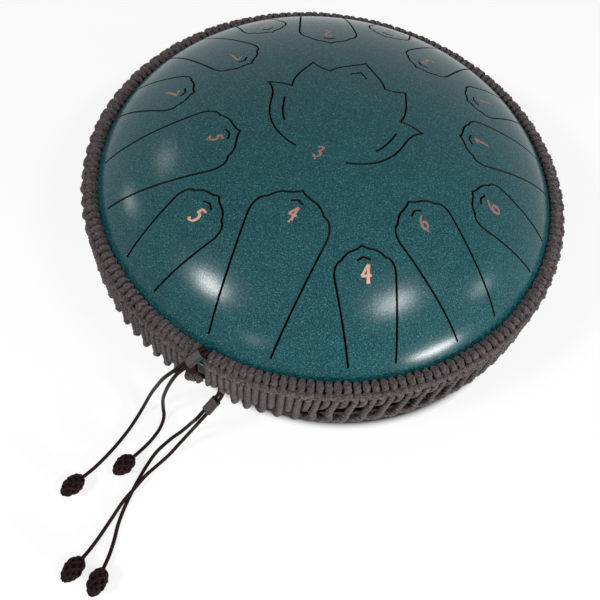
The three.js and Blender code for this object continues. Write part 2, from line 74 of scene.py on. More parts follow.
class DrumSteel(bpy.types.PropertyGroup):
    """Sizes and colours of the two pressed shells and the numerals"""
    radius: length_property("Radius", "Outer radius of the shells at the seam", 177.5)
    dome_height: length_property("Dome height", "Top of the dome above the seam", 75)
    bowl_depth: length_property("Bowl depth", "Bottom of the bowl below the seam", 75)
    sheet: length_property("Sheet", "Thickness of the steel", 2)
    clearance: length_property("Clearance", "Bottom of the bowl above the table", 13)
    slit: length_property("Slit", "Width of the slits that free the tongues", 1.5)
    slit_margin: length_property("Slit margin", "Steel left between the slits and the rim", 10.5)
    port: length_property("Sound port", "Radius of the hole in the bowl", 27)
    numeral: length_property("Numeral", "Height of a numeral without a dot", 10.8)
    power: bpy.props.FloatProperty(
        name="Profile power", description="2 is an ellipse, and less has a softer shoulder", default=1.92)
    coat: colour_property("Powder coat", "Main colour of the powder coat", "#0c4046")
    dark_speck: colour_property("Dark speck", "Dark grains of the powder coat", "#04191b")
    light_speck: colour_property("Light speck", "Light grains of the powder coat", "#417c7b")
    copper: colour_property("Numeral paint", "Copper paint of the numerals", "#c4917f")


class DrumRope(bpy.types.PropertyGroup):
    """Sizes and colours of the knotted rope cover and its whipping"""
    pairs: bpy.props.IntProperty(
        name="Pairs", description="Knots round the rim, each with two wraps", default=96, min=12)
    rope: length_property("Rope", "Diameter of the rope where it is slack", 5.2)
    lay: length_property("Lay", "Length of rope in which a strand goes round once", 12.5)
    core_circle: length_property("Core circle", "Radius of the circle of the drawcords", 177.9)
    upper_core: length_property("Upper core", "Height of the upper drawcord above the seam", 13)
    lower_core: length_property("Lower core", "Depth of the lower drawcord below the seam", 22)
    grey: colour_property("Rope grey", "Main colour of the cotton", "#443a3c")
    # Rope shade is painted shade in the hollows between the fibres, and Rope light is painted highlight on
    # the raised fibres, both over the fibres' own tone.
    grey_tone_and_painted_shade: colour_property("Rope shade", "Colour deep between the fibres", "#181314")
    grey_tone_and_painted_highlight: colour_property("Rope light", "Colour of the fibres that stand out", "#74686a")
    thread: colour_property("Thread", "Colour of the waxed whipping thread", "#2a1715")


class DrumCords(bpy.types.PropertyGroup):
    """Sizes and colours of the drawcords, sliders, knots and feet"""
    cord: length_property("Cord", "Diameter of a drawcord", 2.6)
    slider_length: length_property("Slider length", "Length of a leather slider", 11)
    slider_wall: length_property("Slider wall", "Thickness of the slider's leather", 0.65)
    knot_length: length_property("Knot length", "Length of an end knot", 17)
    knot_thickness: length_property("Knot thickness", "Thickness of an end knot", 13)
    foot_circle: length_property("Foot circle", "Radius of the circle of the feet", 78)
    brown: colour_property("Cord brown", "Colour of the waxed cord", "#201112")
    leather: colour_property("Leather", "Colour of the sliders' leather", "#1c0f0f")
    rubber: colour_property("Rubber", "Colour of the feet", "#1d1d1e")


# Places of the camera and the lamps
CAMERA_PLACE = (0.0689, -0.3255, 0.5077)
CAMERA_TURN = (35.415, -6.187, 19.653)
CAMERA_LENS = 40.46
CAMERA_SHIFT = (-0.049, -0.15)
LAMP_DISTANCE = 1.7
# Each lamp: name, azimuth from +X, elevation, width, height in metres, power in watts
LAMPS = (
    ("key_lamp", -128, 43, 0.32, 0.22, 14.0),
    ("low_lamp", -96, 26, 0.16, 0.10, 1.0),
    ("right_lamp", -26, 52, 0.40, 0.20, 9.5),
    ("rim_lamp", -26, 9, 0.56, 0.16, 20.0),
    ("side_lamp", 5, 26, 0.22, 0.16, 1.9),
    ("left_lamp", -173, 17, 0.22, 0.16, 1.4),
    ("back_lamp", 169, 33, 0.26, 0.16, 1.0),
)
SKY_STRENGTH = 0.24
# Middle, radius and soft edge of the painted shadow under the drum, where the floor is nearly black and does
# not glow, and how much the floor glows elsewhere
UNDER_DRUM, UNDER_RADIUS, UNDER_EDGE = (0.012, 0.009, 0.0), 0.175, 0.006
FLOOR_GLOW = 0.8

# The fourteen tongues: turn from the player's side in degrees, clockwise, then the radius
# of the tip and half the width of the head in millimetres, numeral and its dot
TONGUES = (
    (0.9, 68.6, 27.4, "4", "low"), (29.9, 102.8, 21.2, "5", ""), (-28.4, 100, 20, "4", ""),
    (57.2, 70.2, 26.5, "5", "low"), (-55, 80.5, 22, "6", "low"),
    (85, 108.6, 19, "7", ""), (-82.5, 105.8, 19.6, "6", ""),
    (110.8, 85.6, 20.8, "7", "low"), (-108.5, 89.7, 21.1, "1", ""),
    (134, 116, 18.4, "2", "high"), (-131.9, 110, 17.8, "1", "high"),
    (156.9, 86, 23.2, "2", ""), (-157, 92.5, 20, "3", ""), (180.8, 119.6, 18, "3", "high"),
)
# Half width of a tongue's root as a share of its head, and the small slit inside its tip
ROOT_SHARE = 0.77
MARK_DEPTH, MARK_HALF_WIDTH, MARK_RISE = 7.2, 4.6, 2.1

# Strokes of the numerals as a broad pen draws them, in shares of their height
STROKES = {
    "1": (((0.12, 0.80), (0.46, 1.0)), ((0.44, 1.0), (0.20, 0.0))),
    "2": (((0.10, 0.80), (0.24, 0.97), (0.46, 0.95), (0.54, 0.78), (0.40, 0.52), (0.20, 0.26), (0.03, 0.04)),
          ((0.03, 0.04), (0.22, 0.08), (0.38, 0.02), (0.54, 0.12))),
    "3": (((0.14, 0.85), (0.30, 0.99), (0.50, 0.92), (0.49, 0.72), (0.28, 0.55)),
          ((0.28, 0.55), (0.48, 0.44), (0.49, 0.20), (0.30, 0.01), (0.10, 0.03), (0.02, 0.15))),
    "4": (((0.50, 1.0), (0.02, 0.37)), ((0.0, 0.37), (0.62, 0.37)), ((0.51, 1.0), (0.36, 0.0)),
          ((0.26, 0.01), (0.48, 0.01))),
    "5": (((0.60, 0.95), (0.26, 0.93)), ((0.28, 0.95), (0.18, 0.60)),
          ((0.18, 0.60), (0.38, 0.63), (0.50, 0.42), (0.40, 0.12), (0.20, 0.0), (0.02, 0.10))),
    "6": (((0.52, 1.0), (0.28, 0.82), (0.09, 0.48), (0.09, 0.18), (0.24, 0.0), (0.44, 0.10), (0.50, 0.34),
           (0.38, 0.54), (0.22, 0.50), (0.12, 0.34)),),
    "7": (((0.06, 0.93), (0.58, 0.94)), ((0.57, 0.95), (0.36, 0.48), (0.24, 0.0))),
}
PEN_THICK, PEN_THIN, PEN_ANGLE = 0.20, 0.10, 25
DOT_RADIUS = 0.085
DOTTED_SHARE = 0.86
NUMERAL_OUT, NUMERAL_ASIDE = 17.5, 0.5
LOTUS_NUMERAL = (-2.0, -37.5)
PAINT_THICKNESS, PAINT_LIFT = 0.05, 0.06

# Ends of the cover and ways out of the drawcords, in degrees round the drum
SEAM_ANGLE, SEAM_HALF = -97.2, 1.2
LOWER_EXIT_ANGLE, LOWER_EXIT_HALF = -93.2, 1.45
CORD_INSET = 0.12
COVER_RADIUS = 184.1
CORD_RADIUS, CORD_PLAY, GAP = 1.3, 0.35, 0.3
SLIDER_TRAVEL = 8.0
UPPER_SLIDER = {"inset": -5.2, "shift": -0.25, "rise": 7.0, "heading": (-0.55, -0.66, -0.5)}
LOWER_SLIDER = {"inset": 2.4, "shift": 0.1, "rise": -4.5, "heading": (-0.38, -0.65, -0.65)}
RESTING = CORD_RADIUS + GAP
CROSSING = RESTING + 2 * CORD_RADIUS + 2 * GAP
# Free ends: their cord, their side of the slider, and places along them: across, out past the
# cover and up, in millimetres
ROUTES = {
    "upper_tail_long": ("upper", -1, (
        (-43, 8.4, 84), (-51.1, 7.6, 60), (-58.7, 7.2, 36), (-64.9, 9.4, 14), (-67.9, 15.1, 4),
        (-69.6, 25.7, RESTING), (-71.9, 37.9, RESTING), (-75.1, 49.6, RESTING), (-78.4, 59.7, 2.6),
        (-81.3, 67.9, 5.5))),
    "upper_tail_short": ("upper", 1, (
        (-39.5, 9.4, 78), (-45.4, 8.5, 54), (-50.3, 6.6, 30), (-51.8, 6.7, 12), (-50.3, 10.3, 3.4),
        (-49.6, 17.4, RESTING), (-50.7, 25.5, RESTING), (-52.7, 32.6, 2), (-55, 40.2, 4.6),
        (-56.2, 43.8, 6))),
    "lower_tail_long": ("lower", -1, (
        (-24.5, 13.4, 30), (-31.5, 17.2, 14), (-38.5, 23.5, 4.5), (-43.8, 33.8, RESTING),
        (-45.6, 44.1, RESTING), (-46.4, 54.4, RESTING), (-46.6, 65.2, RESTING), (-46.2, 76, RESTING),
        (-44.8, 86.3, RESTING), (-42.4, 95.6, RESTING), (-40.6, 104.9, 2.8), (-39.6, 112.7, 5.6))),
    "lower_tail_short": ("lower", 1, (
        (-23, 18.9, 28), (-29.4, 25.2, 12), (-34.7, 34, 3.6), (-39.1, 42.8, 2.4), (-42.4, 51.6, CROSSING),
        (-45.4, 61.9, CROSSING), (-48.4, 71.7, 4.2), (-50.8, 84, RESTING), (-52.5, 96.3, RESTING),
        (-53.9, 105.6, 3.2), (-55, 111.9, 5.8))),
}


def steel():
    return bpy.context.scene.drum_steel


def rope():
    return bpy.context.scene.drum_rope


def cords():
    return bpy.context.scene.drum_cords


def seam_height():
    return steel().clearance + steel().bowl_depth


# Selecting and finishing pieces

def pick(piece):
    """Deselects everything but one piece, and makes it active."""
    if bpy.context.object and bpy.context.object.mode != "OBJECT":
        bpy.ops.object.mode_set(mode="OBJECT")
    bpy.ops.object.select_all(action="DESELECT")
    piece.select_set(True)
    bpy.context.view_layer.objects.active = piece


def take(name):
    """The object that the last operator added, renamed."""
    piece = bpy.context.object
    piece.name = name
    piece.data.name = name
    return piece


def settle(piece):
    """Puts the object's place, turn and scale into its mesh."""
    pick(piece)
    bpy.ops.object.transform_apply(location=True, rotation=True, scale=True)


def modify(piece, kind, **settings):
    """Adds one modifier and applies it."""
    pick(piece)
    modifier = piece.modifiers.new(kind.lower(), kind)
    for key, value in settings.items():
        setattr(modifier, key, value)
    bpy.ops.object.modifier_apply(modifier=modifier.name)


def round_edges(piece, width, degrees):
    """Bevels the edges that turn by more than an angle."""
    modify(piece, "BEVEL", width=width, segments=2, limit_method="ANGLE", angle_limit=math.radians(degrees))


def edit_all(*steps):
    """Runs mesh operators, each with its settings, on the whole of the active mesh."""
    bpy.ops.object.mode_set(mode="EDIT")
    for operator, settings in steps:
        bpy.ops.mesh.select_all(action="SELECT")
        operator(**settings)
    bpy.ops.object.mode_set(mode="OBJECT")


def join(first, others, name):
    pick(first)
    for other in others:
        other.select_set(True)
    bpy.ops.object.join()
    return take(name)


def finish_piece(piece, material, body="drum", replaces=(), smooth_angle=None):
    """Smooths a piece, gives it its finish and lets it ride on its body."""
    settle(piece)
    if smooth_angle is not None:
        bpy.ops.object.shade_smooth_by_angle(angle=math.radians(smooth_angle))
    if material is not None:
        piece.data.materials.clear()
        piece.data.materials.append(material)
    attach(piece, body)
    for node in replaces:
        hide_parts(node)
    return piece


def mesh_piece(name, vertices, faces):
    data = bpy.data.meshes.new(name)
    data.from_pydata(vertices, [], faces)
    piece = bpy.data.objects.new(name, data)
    bpy.context.scene.collection.objects.link(piece)
    return piece


# Lines and tubes

def run_along(places):
    """Distance along a line at each of its points."""
    return np.concatenate([[0], np.cumsum(np.linalg.norm(np.diff(places, axis=0), axis=1))])


def smooth_line(points, step):
    """Even steps along a smooth curve through the points; columns past the third go with them."""
    points = np.asarray(points, float)
    span = np.linalg.norm(np.diff(points[:, :3], axis=0), axis=1)
    way = np.vstack([points[1] - points[0], points[2:] - points[:-2], points[-1] - points[-2]])
    way /= np.linalg.norm(way[:, :3], axis=1)[:, None]
    t = np.linspace(0, 1, 12, endpoint=False)[None, :, None]
    start, end = points[:-1, None, :], points[1:, None, :]
    out, into = way[:-1, None, :] * span[:, None, None], way[1:, None, :] * span[:, None, None]
    curve = ((2 * t ** 3 - 3 * t ** 2 + 1) * start + (t ** 3 - 2 * t ** 2 + t) * out
             + (3 * t ** 2 - 2 * t ** 3) * end + (t ** 3 - t ** 2) * into)
    fine = np.vstack([curve.reshape(-1, points.shape[1]), points[-1:]])
    run = run_along(fine[:, :3])
    count = max(2, int(round(run[-1] / step)) + 1)
    even = np.linspace(0, run[-1], count)
    return np.column_stack([np.interp(even, run, column) for column in fine.T])


def carried_frames(places):
    """Two directions across a line at each of its points, carried along it without twist."""
    way = np.gradient(places, axis=0)
    way /= np.linalg.norm(way, axis=1)[:, None]
    side = np.cross(way[0], (0.0, 0.0, 1.0))
    if np.linalg.norm(side) < 0.1:
        side = np.cross(way[0], (1.0, 0.0, 0.0))
    sides = np.empty_like(places)
    for i, heading in enumerate(way):
        side = side - heading * side.dot(heading)
        side /= np.linalg.norm(side)
        sides[i] = side
    return sides, np.cross(way, sides)


def round_tube(name, places, radius, corners):
    """A closed round tube of one thickness along a line."""
    section = [(2 * math.pi * k / corners, 1.0) for k in range(corners)]
    return framed_tube(name, places, np.full(len(places), radius), section, *carried_frames(places))


def framed_tube(name, places, radii, section, sides, ups, twist=None):
    """A closed tube along a line. The section lists angles and shares of the radius."""
    angles = np.array([a for a, _ in section])
    shares = np.array([s for _, s in section])
    turn = np.zeros(len(places)) if twist is None else twist
    around = angles[None, :] + turn[:, None]
    reach = np.asarray(radii)[:, None] * shares[None, :]
    rings = (places[:, None, :] + (reach * np.cos(around))[..., None] * sides[:, None, :]
             + (reach * np.sin(around))[..., None] * ups[:, None, :])
    rows, count = reach.shape
    i, k = np.meshgrid(np.arange(rows - 1), np.arange(count), indexing="ij")
    k_next = (k + 1) % count
    here, beyond = i * count, (i + 1) * count
    quads = np.stack([here + k, here + k_next, beyond + k_next, beyond + k], -1)
    faces = quads.reshape(-1, 4).tolist()
    faces.append(list(range(count))[::-1])
    faces.append([(rows - 1) * count + j for j in range(count)])
    piece = mesh_piece(name, rings.reshape(-1, 3).tolist(), faces)
    across = np.stack([k, k + 1, k + 1, k], -1) / count
    along = run_along(places)[np.stack([i, i, i + 1, i + 1], -1)]
    layer = piece.data.uv_layers.new(name="along")
    values = np.zeros((len(piece.data.loops), 2), np.float32)
    values[:quads.size, 0] = across.reshape(-1)
    values[:quads.size, 1] = along.reshape(-1)
    layer.data.foreach_set("uv", values.ravel())
    piece.data.polygons.foreach_set("use_smooth", [True] * len(piece.data.polygons))
    return piece


def laid_section():
    """Section of a three-strand rope, with a groove between each two strands."""
    return [(math.radians(120 * strand + offset), share)
            for strand in range(3) for offset, share in ((-45, 0.84), (-15, 1.03), (15, 1.03), (45, 0.84))]


def at_angle(radius, degrees, height):
    a = math.radians(degrees)
    return Vector((radius * math.cos(a), radius * math.sin(a), height))


# Finishes

def new_material(name):
    material = bpy.data.materials.new(name)
    material.use_nodes = True
    tree = material.node_tree
    return material, tree, tree.nodes["Principled BSDF"]


def add(tree, kind, inputs=None, **settings):
    """Adds a node with its settings; an input is a value or another node's socket."""
    node = tree.nodes.new(kind)
    for key, value in settings.items():
        setattr(node, key, value)
    for key, value in (inputs or {}).items():
        if isinstance(value, bpy.types.NodeSocket):
            tree.links.new(value, node.inputs[key])
        else:
            node.inputs[key].default_value = value
    return node


def reckon(tree, operation, first, second):
    return add(tree, "ShaderNodeMath", {0: first, 1: second}, operation=operation).outputs["Value"]


def place_of(tree):
    return add(tree, "ShaderNodeTexCoord").outputs["Object"]


def uv_of(tree, across, along):
    """The piece's own UV map, with so many cells round it and along each metre."""
    source = add(tree, "ShaderNodeTexCoord").outputs["UV"]
    return add(tree, "ShaderNodeMapping", {"Vector": source, "Scale": (across, along, 1.0)}).outputs["Vector"]


def noise(tree, place, size, detail, **more):
    """Noise whose cells have a size in metres."""
    inputs = {"Vector": place, "Scale": 1 / size, "Detail": detail, **more}
    return add(tree, "ShaderNodeTexNoise", inputs).outputs["Fac"]


def ramp(tree, value, stops):
    """The colour at a value. Each stop is a place and a linear colour."""
    node = add(tree, "ShaderNodeValToRGB", {"Fac": value})
    elements = node.color_ramp.elements
    while len(elements) < len(stops):
        elements.new(0.5)
    for element, (place, colour) in zip(elements, stops):
        element.position = place
        element.color = (*colour[:3], 1.0)
    return node.outputs["Color"]


def shades(colour, *stops):
    """Stops of one colour, each a place and what multiplies the colour there."""
    return [(place, [share * c for c in colour]) for place, share in stops]


def patched(tree, colour, size, detail, reach):
    """A colour that is a little lighter or darker from patch to patch."""
    patch = noise(tree, place_of(tree), size, detail)
    value = add(tree, "ShaderNodeMapRange", {"Value": patch, "To Min": 1 - reach, "To Max": 1 + reach})
    inputs = {"Color": colour, "Value": value.outputs["Result"]}
    return add(tree, "ShaderNodeHueSaturation", inputs).outputs["Color"]


def dress(tree, shader, colour, bump=None, **values):
    """Gives a shader its colour, its bump (height, strength and depth) and its constants."""
    tree.links.new(colour, shader.inputs["Base Color"])
    if bump:
        height, strength, depth = bump
        node = add(tree, "ShaderNodeBump", {"Height": height, "Strength": strength, "Distance": depth})
        tree.links.new(node.outputs["Normal"], shader.inputs["Normal"])
    for key, value in values.items():
        shader.inputs[key.replace("_", " ").title().replace("Ior", "IOR")].default_value = value


def powder_coat():
    """Powder coat baked on pressed steel: a satin teal film with orange peel, and darker and
    lighter grains, as coarse as they show in the photograph."""
    material, tree, shader = new_material("teal_powder_coat")
    grain_size, patch_size, peel_size, peel_depth = 0.85 * MM, 14 * MM, 1.2 * MM, 0.032 * MM
    drum, place = steel(), place_of(tree)
    grain = noise(tree, place, grain_size, 2.0, Roughness=0.75)
    colour = ramp(tree, grain, ((0.32, drum.dark_speck), (0.46, drum.coat), (0.55, drum.coat),
                                (0.72, drum.light_speck)))
    dress(tree, shader, patched(tree, colour, patch_size, 3.0, 0.14),
          bump=(noise(tree, place, peel_size, 2.0), 0.8, peel_depth),
          roughness=0.21, ior=1.5, specular_ior_level=0.21)
    return material


def cut_steel():
    """The cut walls of the slits, coloured nearly black with faint streaks."""
    material, tree, shader = new_material("dark_cut_edge")
    streak = noise(tree, place_of(tree), 0.8 * MM, 2.0)
    dress(tree, shader, ramp(tree, streak, ((0.3, linear("#050606")), (0.8, linear("#121515")))),
          roughness=0.7)
    return material


def weld_steel():
    """Mild steel weld bead, ground flush: a dull, finely mottled grey."""
    material, tree, shader = new_material("ground_weld")
    mottle = noise(tree, place_of(tree), 0.5 * MM, 4.0)
    dress(tree, shader, ramp(tree, mottle, ((0.3, linear("#3b3d3f")), (0.75, linear("#6a6c6d")))),
          metallic=1.0, roughness=0.45)
    return material


def copper_paint():
    """Copper-coloured metallic paint with fine flakes, with painted light and shade: bright near the player
    and darkened further back.
    """
    material, tree, shader = new_material("copper_paint")
    painted_light_until, painted_shade_from, painted_shade_share = -108 * MM, -62 * MM, 0.45
    place = place_of(tree)
    flakes = ramp(tree, noise(tree, place, 0.6 * MM, 3.0), shades(steel().copper, (0.25, 0.62), (0.6, 1.0)))
    # Painted light and shade: the paint's colour is scaled from full near the player down to under half
    # further back.
    along = add(tree, "ShaderNodeSeparateXYZ", {"Vector": place}).outputs["Y"]
    share = add(tree, "ShaderNodeMapRange", {
        "Value": along, "From Min": painted_light_until, "From Max": painted_shade_from, "To Min": 1.0,
        "To Max": painted_shade_share}).outputs["Result"]
    paint = add(tree, "ShaderNodeVectorMath", {0: flakes, "Scale": share}, operation="SCALE")
    dress(tree, shader, paint.outputs["Vector"], metallic=0.35, roughness=0.42)
    return material


def cotton_rope():
    """Twisted cotton rope: matt fibres that follow the strands, darker in the fibre hollows as painted shade
    and paler on the raised fibres as painted highlight, over the fibres' own tone.
    """
    material, tree, shader = new_material("grey_cotton_rope")
    fluff_size, patch_size, fibre_depth = 1.1 * MM, 18 * MM, 0.8 * MM
    cover = rope()
    fibre = noise(tree, uv_of(tree, 42.0, 260.0), 1.0, 3.0, Roughness=0.6)
    fluff = noise(tree, place_of(tree), fluff_size, 3.0)
    mean = reckon(tree, "MULTIPLY", reckon(tree, "ADD", fibre, fluff), 0.5)
    # Painted shade and highlight: one fibre height drives both the colour and the bump, so the hollows are
    # darker and the raised fibres paler.
    colour = ramp(tree, mean, ((0.34, cover.grey_tone_and_painted_shade), (0.50, cover.grey), (0.66, cover.grey_tone_and_painted_highlight)))
    dress(tree, shader, patched(tree, colour, patch_size, 2.0, 0.15), bump=(mean, 1.0, fibre_depth),
          roughness=0.95, sheen_weight=0.15, sheen_roughness=0.6, specular_ior_level=0.1)
    return material


def waxed_cord(name, colour, roughness):
    """Waxed polyester cord: nearly black brown, dull, with a fine braid across it."""
    material, tree, shader = new_material(name)
    braid = add(tree, "ShaderNodeTexWave", {
        "Vector": uv_of(tree, 10.0, 900.0), "Scale": 0.5, "Distortion": 1.5, "Detail": 1.0},
        bands_direction="DIAGONAL")
    wear = noise(tree, place_of(tree), 3.5 * MM, 4.0)
    dress(tree, shader, ramp(tree, wear, shades(colour, (0.3, 0.6), (0.55, 1.0), (0.85, 1.7))),
          bump=(braid.outputs["Fac"], 0.35, 0.12 * MM), roughness=roughness, specular_ior_level=0.06)
    return material


def slider_leather():
    """Vegetable-tanned leather, dyed brown: fine pores and paler rubbed patches."""
    material, tree, shader = new_material("brown_leather")
    place = place_of(tree)
    pores = add(tree, "ShaderNodeTexVoronoi", {"Vector": place, "Scale": 1 / (0.7 * MM)})
    rub = noise(tree, place, 2.5 * MM, 4.0)
    dress(tree, shader, ramp(tree, rub, shades(cords().leather, (0.3, 0.55), (0.55, 1.0), (0.8, 2.0))),
          bump=(pores.outputs["Distance"], 0.4, 0.15 * MM), roughness=0.5)
    return material


def foot_rubber():
    """Moulded natural rubber: matt black with a fine mould texture and a little bloom."""
    material, tree, shader = new_material("black_rubber")
    place = place_of(tree)
    bloom = noise(tree, place, 6 * MM, 3.0)
    dress(tree, shader, ramp(tree, bloom, shades(cords().rubber, (0.35, 1.0), (0.8, 2.2))),
          bump=(noise(tree, place, 0.5 * MM, 2.0), 0.3, 0.05 * MM), roughness=0.75)
    return material


# The pressed shells

def profile_height(radius, depth):
    """Height of the pressed profile above the seam at a radius."""
    share = min(radius / steel().radius, 1.0)
    power = steel().power
    return depth * (1 - share ** power) ** (1 / power)


def profile_normal(x, y, z):
    """Outward normal of the pressed profile at a point above or below the seam."""
    drum = steel()
    depth = drum.dome_height if z >= 0 else drum.bowl_depth
    radius = max(math.hypot(x, y), 1e-9)
    power = drum.power - 1
    out = (radius / drum.radius) ** power / drum.radius
    up = math.copysign((abs(z) / depth) ** power / depth, z)
    return Vector((x / radius * out, y / radius * out, up)).normalized()


def pressed_shell(name, depth, sign):
    """Half a globe, drawn to the pressed profile, with the sheet's thickness inside."""
    drum = steel()
    bpy.ops.mesh.primitive_uv_sphere_add(segments=224, ring_count=96, radius=1.0)
    shell = take(name)
    edit_all((bpy.ops.mesh.bisect, {
        "plane_co": (0, 0, 0), "plane_no": (0, 0, sign), "clear_inner": True, "threshold": 1e-5}))
    for vertex in shell.data.vertices:
        x, y, z = vertex.co
        across = math.hypot(x, y)
        stretch = 0.0 if across < 1e-6 else drum.radius * min(across, 1.0) ** (2 / drum.power) / across
        vertex.co = (x * stretch, y * stretch, sign * depth * min(abs(z), 1.0) ** (2 / drum.power))
    modify(shell, "SOLIDIFY", thickness=drum.sheet, offset=-1.0, use_even_offset=True)
    return shell


def press_normals(shell, shift):
    """Gives the pressed faces the normals of their true profile, and the cut walls their own."""
    wall_share = 0.6
    data = shell.data
    normals = [None] * len(data.loops)
    for face in data.polygons:
        flat = face.normal.copy()
        true = profile_normal(*(face.center - shift))
        side = flat.dot(true)
        wall = abs(side) < wall_share
        face.material_index = 1 if wall else 0
        face.use_smooth = True
        for loop in face.loop_indices:
            if wall:
                normals[loop] = flat
                continue
            corner = data.vertices[data.loops[loop].vertex_index].co - shift
            normals[loop] = math.copysign(1.0, side) * profile_normal(*corner)
    data.normals_split_custom_set(normals)


def bezier(points, place, steps=8):
    """Points of a quadratic or cubic curve after its first one, each put in its place."""
    result = []
    for i in range(1, steps + 1):
        level = [Vector(p) for p in points]
        while len(level) > 1:
            level = [a.lerp(b, i / steps) for a, b in zip(level, level[1:])]
        result.append(place(*level[0]))
    return result


# One side of a tongue's slit, in half widths of its head out from its tip and to the side,
# and the right half of the lotus, in millimetres, as curves that follow each other
PETAL_EDGE = (
    ((0, 0), (0.085, 0.1), (0.135, 0.24), (0.165, 0.38)),
    ((0.165, 0.38), (0.195, 0.5), (0.3, 0.64), (0.42, 0.715)),
    ((0.42, 0.715), (0.44, 0.86), (0.6, 1.0), (0.92, 1.0)),
)
LOTUS_EDGE = (
    ((18, -37.8), (36, -33), (47, -22), (50, -4)),
    ((50, -4), (51.8, 8), (59, 12.7)),
    ((59, 12.7), (50, 15.5), (41.4, 14.6)),
    ((41.4, 14.6), (44.5, 24), (41, 33), (36.8, 46.4)),
    ((36.8, 46.4), (29, 41.5), (21.4, 41.7)),
    ((21.4, 41.7), (19.5, 49), (8, 55), (0, 64.2)),
)
LOTUS_VEIN = ((42, 2.2), (39.5, -12), (33.5, -19.9))
LOTUS_MARK = ((-6.3, 45.3), (0, 50.7), (6.3, 45.3))


def on_tongue(turn, tip, along, side):
    """A point at a distance out from a tongue's tip and to the side, in metres."""
    heading = math.radians(-90 - turn)
    radius = tip + along
    return Vector((radius * math.cos(heading) - side * math.sin(heading),
                   radius * math.sin(heading) + side * math.cos(heading))) * MM


def tongue_lines(turn, tip, half):
    """The slit round a tongue and the small roof-shaped slit inside its tip."""
    root_half = ROOT_SHARE * half
    slit_end = (steel().radius - steel().slit_margin) / MM
    root_along = math.sqrt(slit_end ** 2 - root_half ** 2) - tip
    sides = []
    for sign in (1, -1):
        edge = [on_tongue(turn, tip, 0, 0)]
        for curve in PETAL_EDGE:
            edge += bezier(curve, lambda x, y: on_tongue(turn, tip, x * half, sign * y * half))
        edge.append(on_tongue(turn, tip, root_along, sign * root_half))
        sides.append(edge)
    mark = [on_tongue(turn, tip, MARK_DEPTH + MARK_RISE, -MARK_HALF_WIDTH),
            on_tongue(turn, tip, MARK_DEPTH, 0),
            on_tongue(turn, tip, MARK_DEPTH + MARK_RISE, MARK_HALF_WIDTH)]
    return sides[0][::-1] + sides[1][1:], mark


def lotus_lines():
    """The lotus in the middle: its outline, two veins and the mark in its top petal."""
    def metres(x, y):
        return Vector((x, y)) * MM

    def mirrored(line):
        return [Vector((-point.x, point.y)) for point in line]

    right = [metres(*LOTUS_EDGE[0][0])]
    for curve in LOTUS_EDGE:
        right += bezier(curve, metres)
    vein = [metres(*LOTUS_VEIN[0])] + bezier(LOTUS_VEIN, metres)
    mark = [metres(*point) for point in LOTUS_MARK]
    return [right + mirrored(right[:-1])[::-1], vein, mirrored(vein), mark]


def slit_cutter():
    """Upright walls along all the slit lines, as thick as a slit is wide."""
    lines = lotus_lines()
    for turn, tip, half, _, _ in TONGUES:
        lines += tongue_lines(turn, tip, half)
    below_seam, above_dome = 5 * MM, 10 * MM
    bottom, top = seam_height() - below_seam, seam_height() + steel().dome_height + above_dome
    vertices, faces = [], []
    for line in lines:
        for i, point in enumerate(line):
            vertices += [(point.x, point.y, bottom), (point.x, point.y, top)]
            if i:
                last = len(vertices) - 1
                faces.append((last - 3, last - 1, last, last - 2))
    cutter = mesh_piece("slit_cutter", vertices, faces)
    modify(cutter, "SOLIDIFY", thickness=steel().slit, offset=0.0, use_even_offset=True)
    return cutter


def cut(piece, cutter):
    """Cuts one piece with another, which is then deleted."""
    modify(piece, "BOOLEAN", operation="DIFFERENCE", solver="EXACT", object=cutter)
    bpy.data.objects.remove(cutter)


def drill(radius, depth, corners, place):
    """A cylinder that cuts a round hole."""
    bpy.ops.mesh.primitive_cylinder_add(vertices=corners, radius=radius, depth=depth, location=place)
    return take("hole_cutter")


def foot_places():
    return [at_angle(cords().foot_circle, 45 + 90 * i, 0.0) for i in range(4)]


class DRUM_OT_shells(bpy.types.Operator):
    """Presses the dome with its tongue slits, and the bowl with its port and foot holes"""
    bl_idname = "drum.shells"
    bl_label = "Pressed shells"

    def execute(self, context):
        drum = steel()
        seam = Vector((0, 0, seam_height()))
        finish = (powder_coat(), cut_steel())
        dome = pressed_shell("steel_dome", drum.dome_height, 1)
        dome.location = seam
        settle(dome)
        cut(dome, slit_cutter())
        bowl = pressed_shell("steel_bowl", drum.bowl_depth, -1)
        bowl.location = seam
        settle(bowl)
        port_depth, hole_radius, hole_depth = 40 * MM, 4 * MM, 80 * MM
        port = drill(drum.port, port_depth, 96, (0, 0, drum.clearance))
        holes = [drill(hole_radius, hole_depth, 32, place) for place in foot_places()]
        cut(bowl, join(port, holes, "hole_cutter"))
        for shell, node in ((dome, "upper_shell"), (bowl, "lower_shell")):
            shell.data.materials.clear()
            for material in finish:
                shell.data.materials.append(material)
            press_normals(shell, seam)
            finish_piece(shell, None, replaces=(node,))
        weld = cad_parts["rim_weld"].data
        weld.materials.clear()
        weld.materials.append(weld_steel())
        return {"FINISHED"}


def pen_width(direction, height):
    """Width of a broad pen's stroke that runs in a direction."""
    angle = math.atan2(direction[1], direction[0]) - math.radians(PEN_ANGLE)
    return height * (PEN_THIN + (PEN_THICK - PEN_THIN) * abs(math.sin(angle)))


def draw_stroke(mesh, line, height, put):
    """One pen stroke as a strip of faces between its two edges."""
    points = np.array([(x, y, 0.0) for x, y in line]) * height
    if len(points) > 2:
        points = smooth_line(points, height / 24)
    else:
        points = np.linspace(points[0], points[-1], 8)
    ways = np.gradient(points, axis=0)
    ways /= np.linalg.norm(ways, axis=1)[:, None]
    last = None
    for point, way in zip(points, ways):
        reach = pen_width(way, height) / 2
        across = np.array((-way[1], way[0])) * reach
        pair = [mesh.verts.new(put(point[0] + s * across[0], point[1] + s * across[1])) for s in (1, -1)]
        if last:
            mesh.faces.new((last[0], last[1], pair[1], pair[0]))
        last = pair


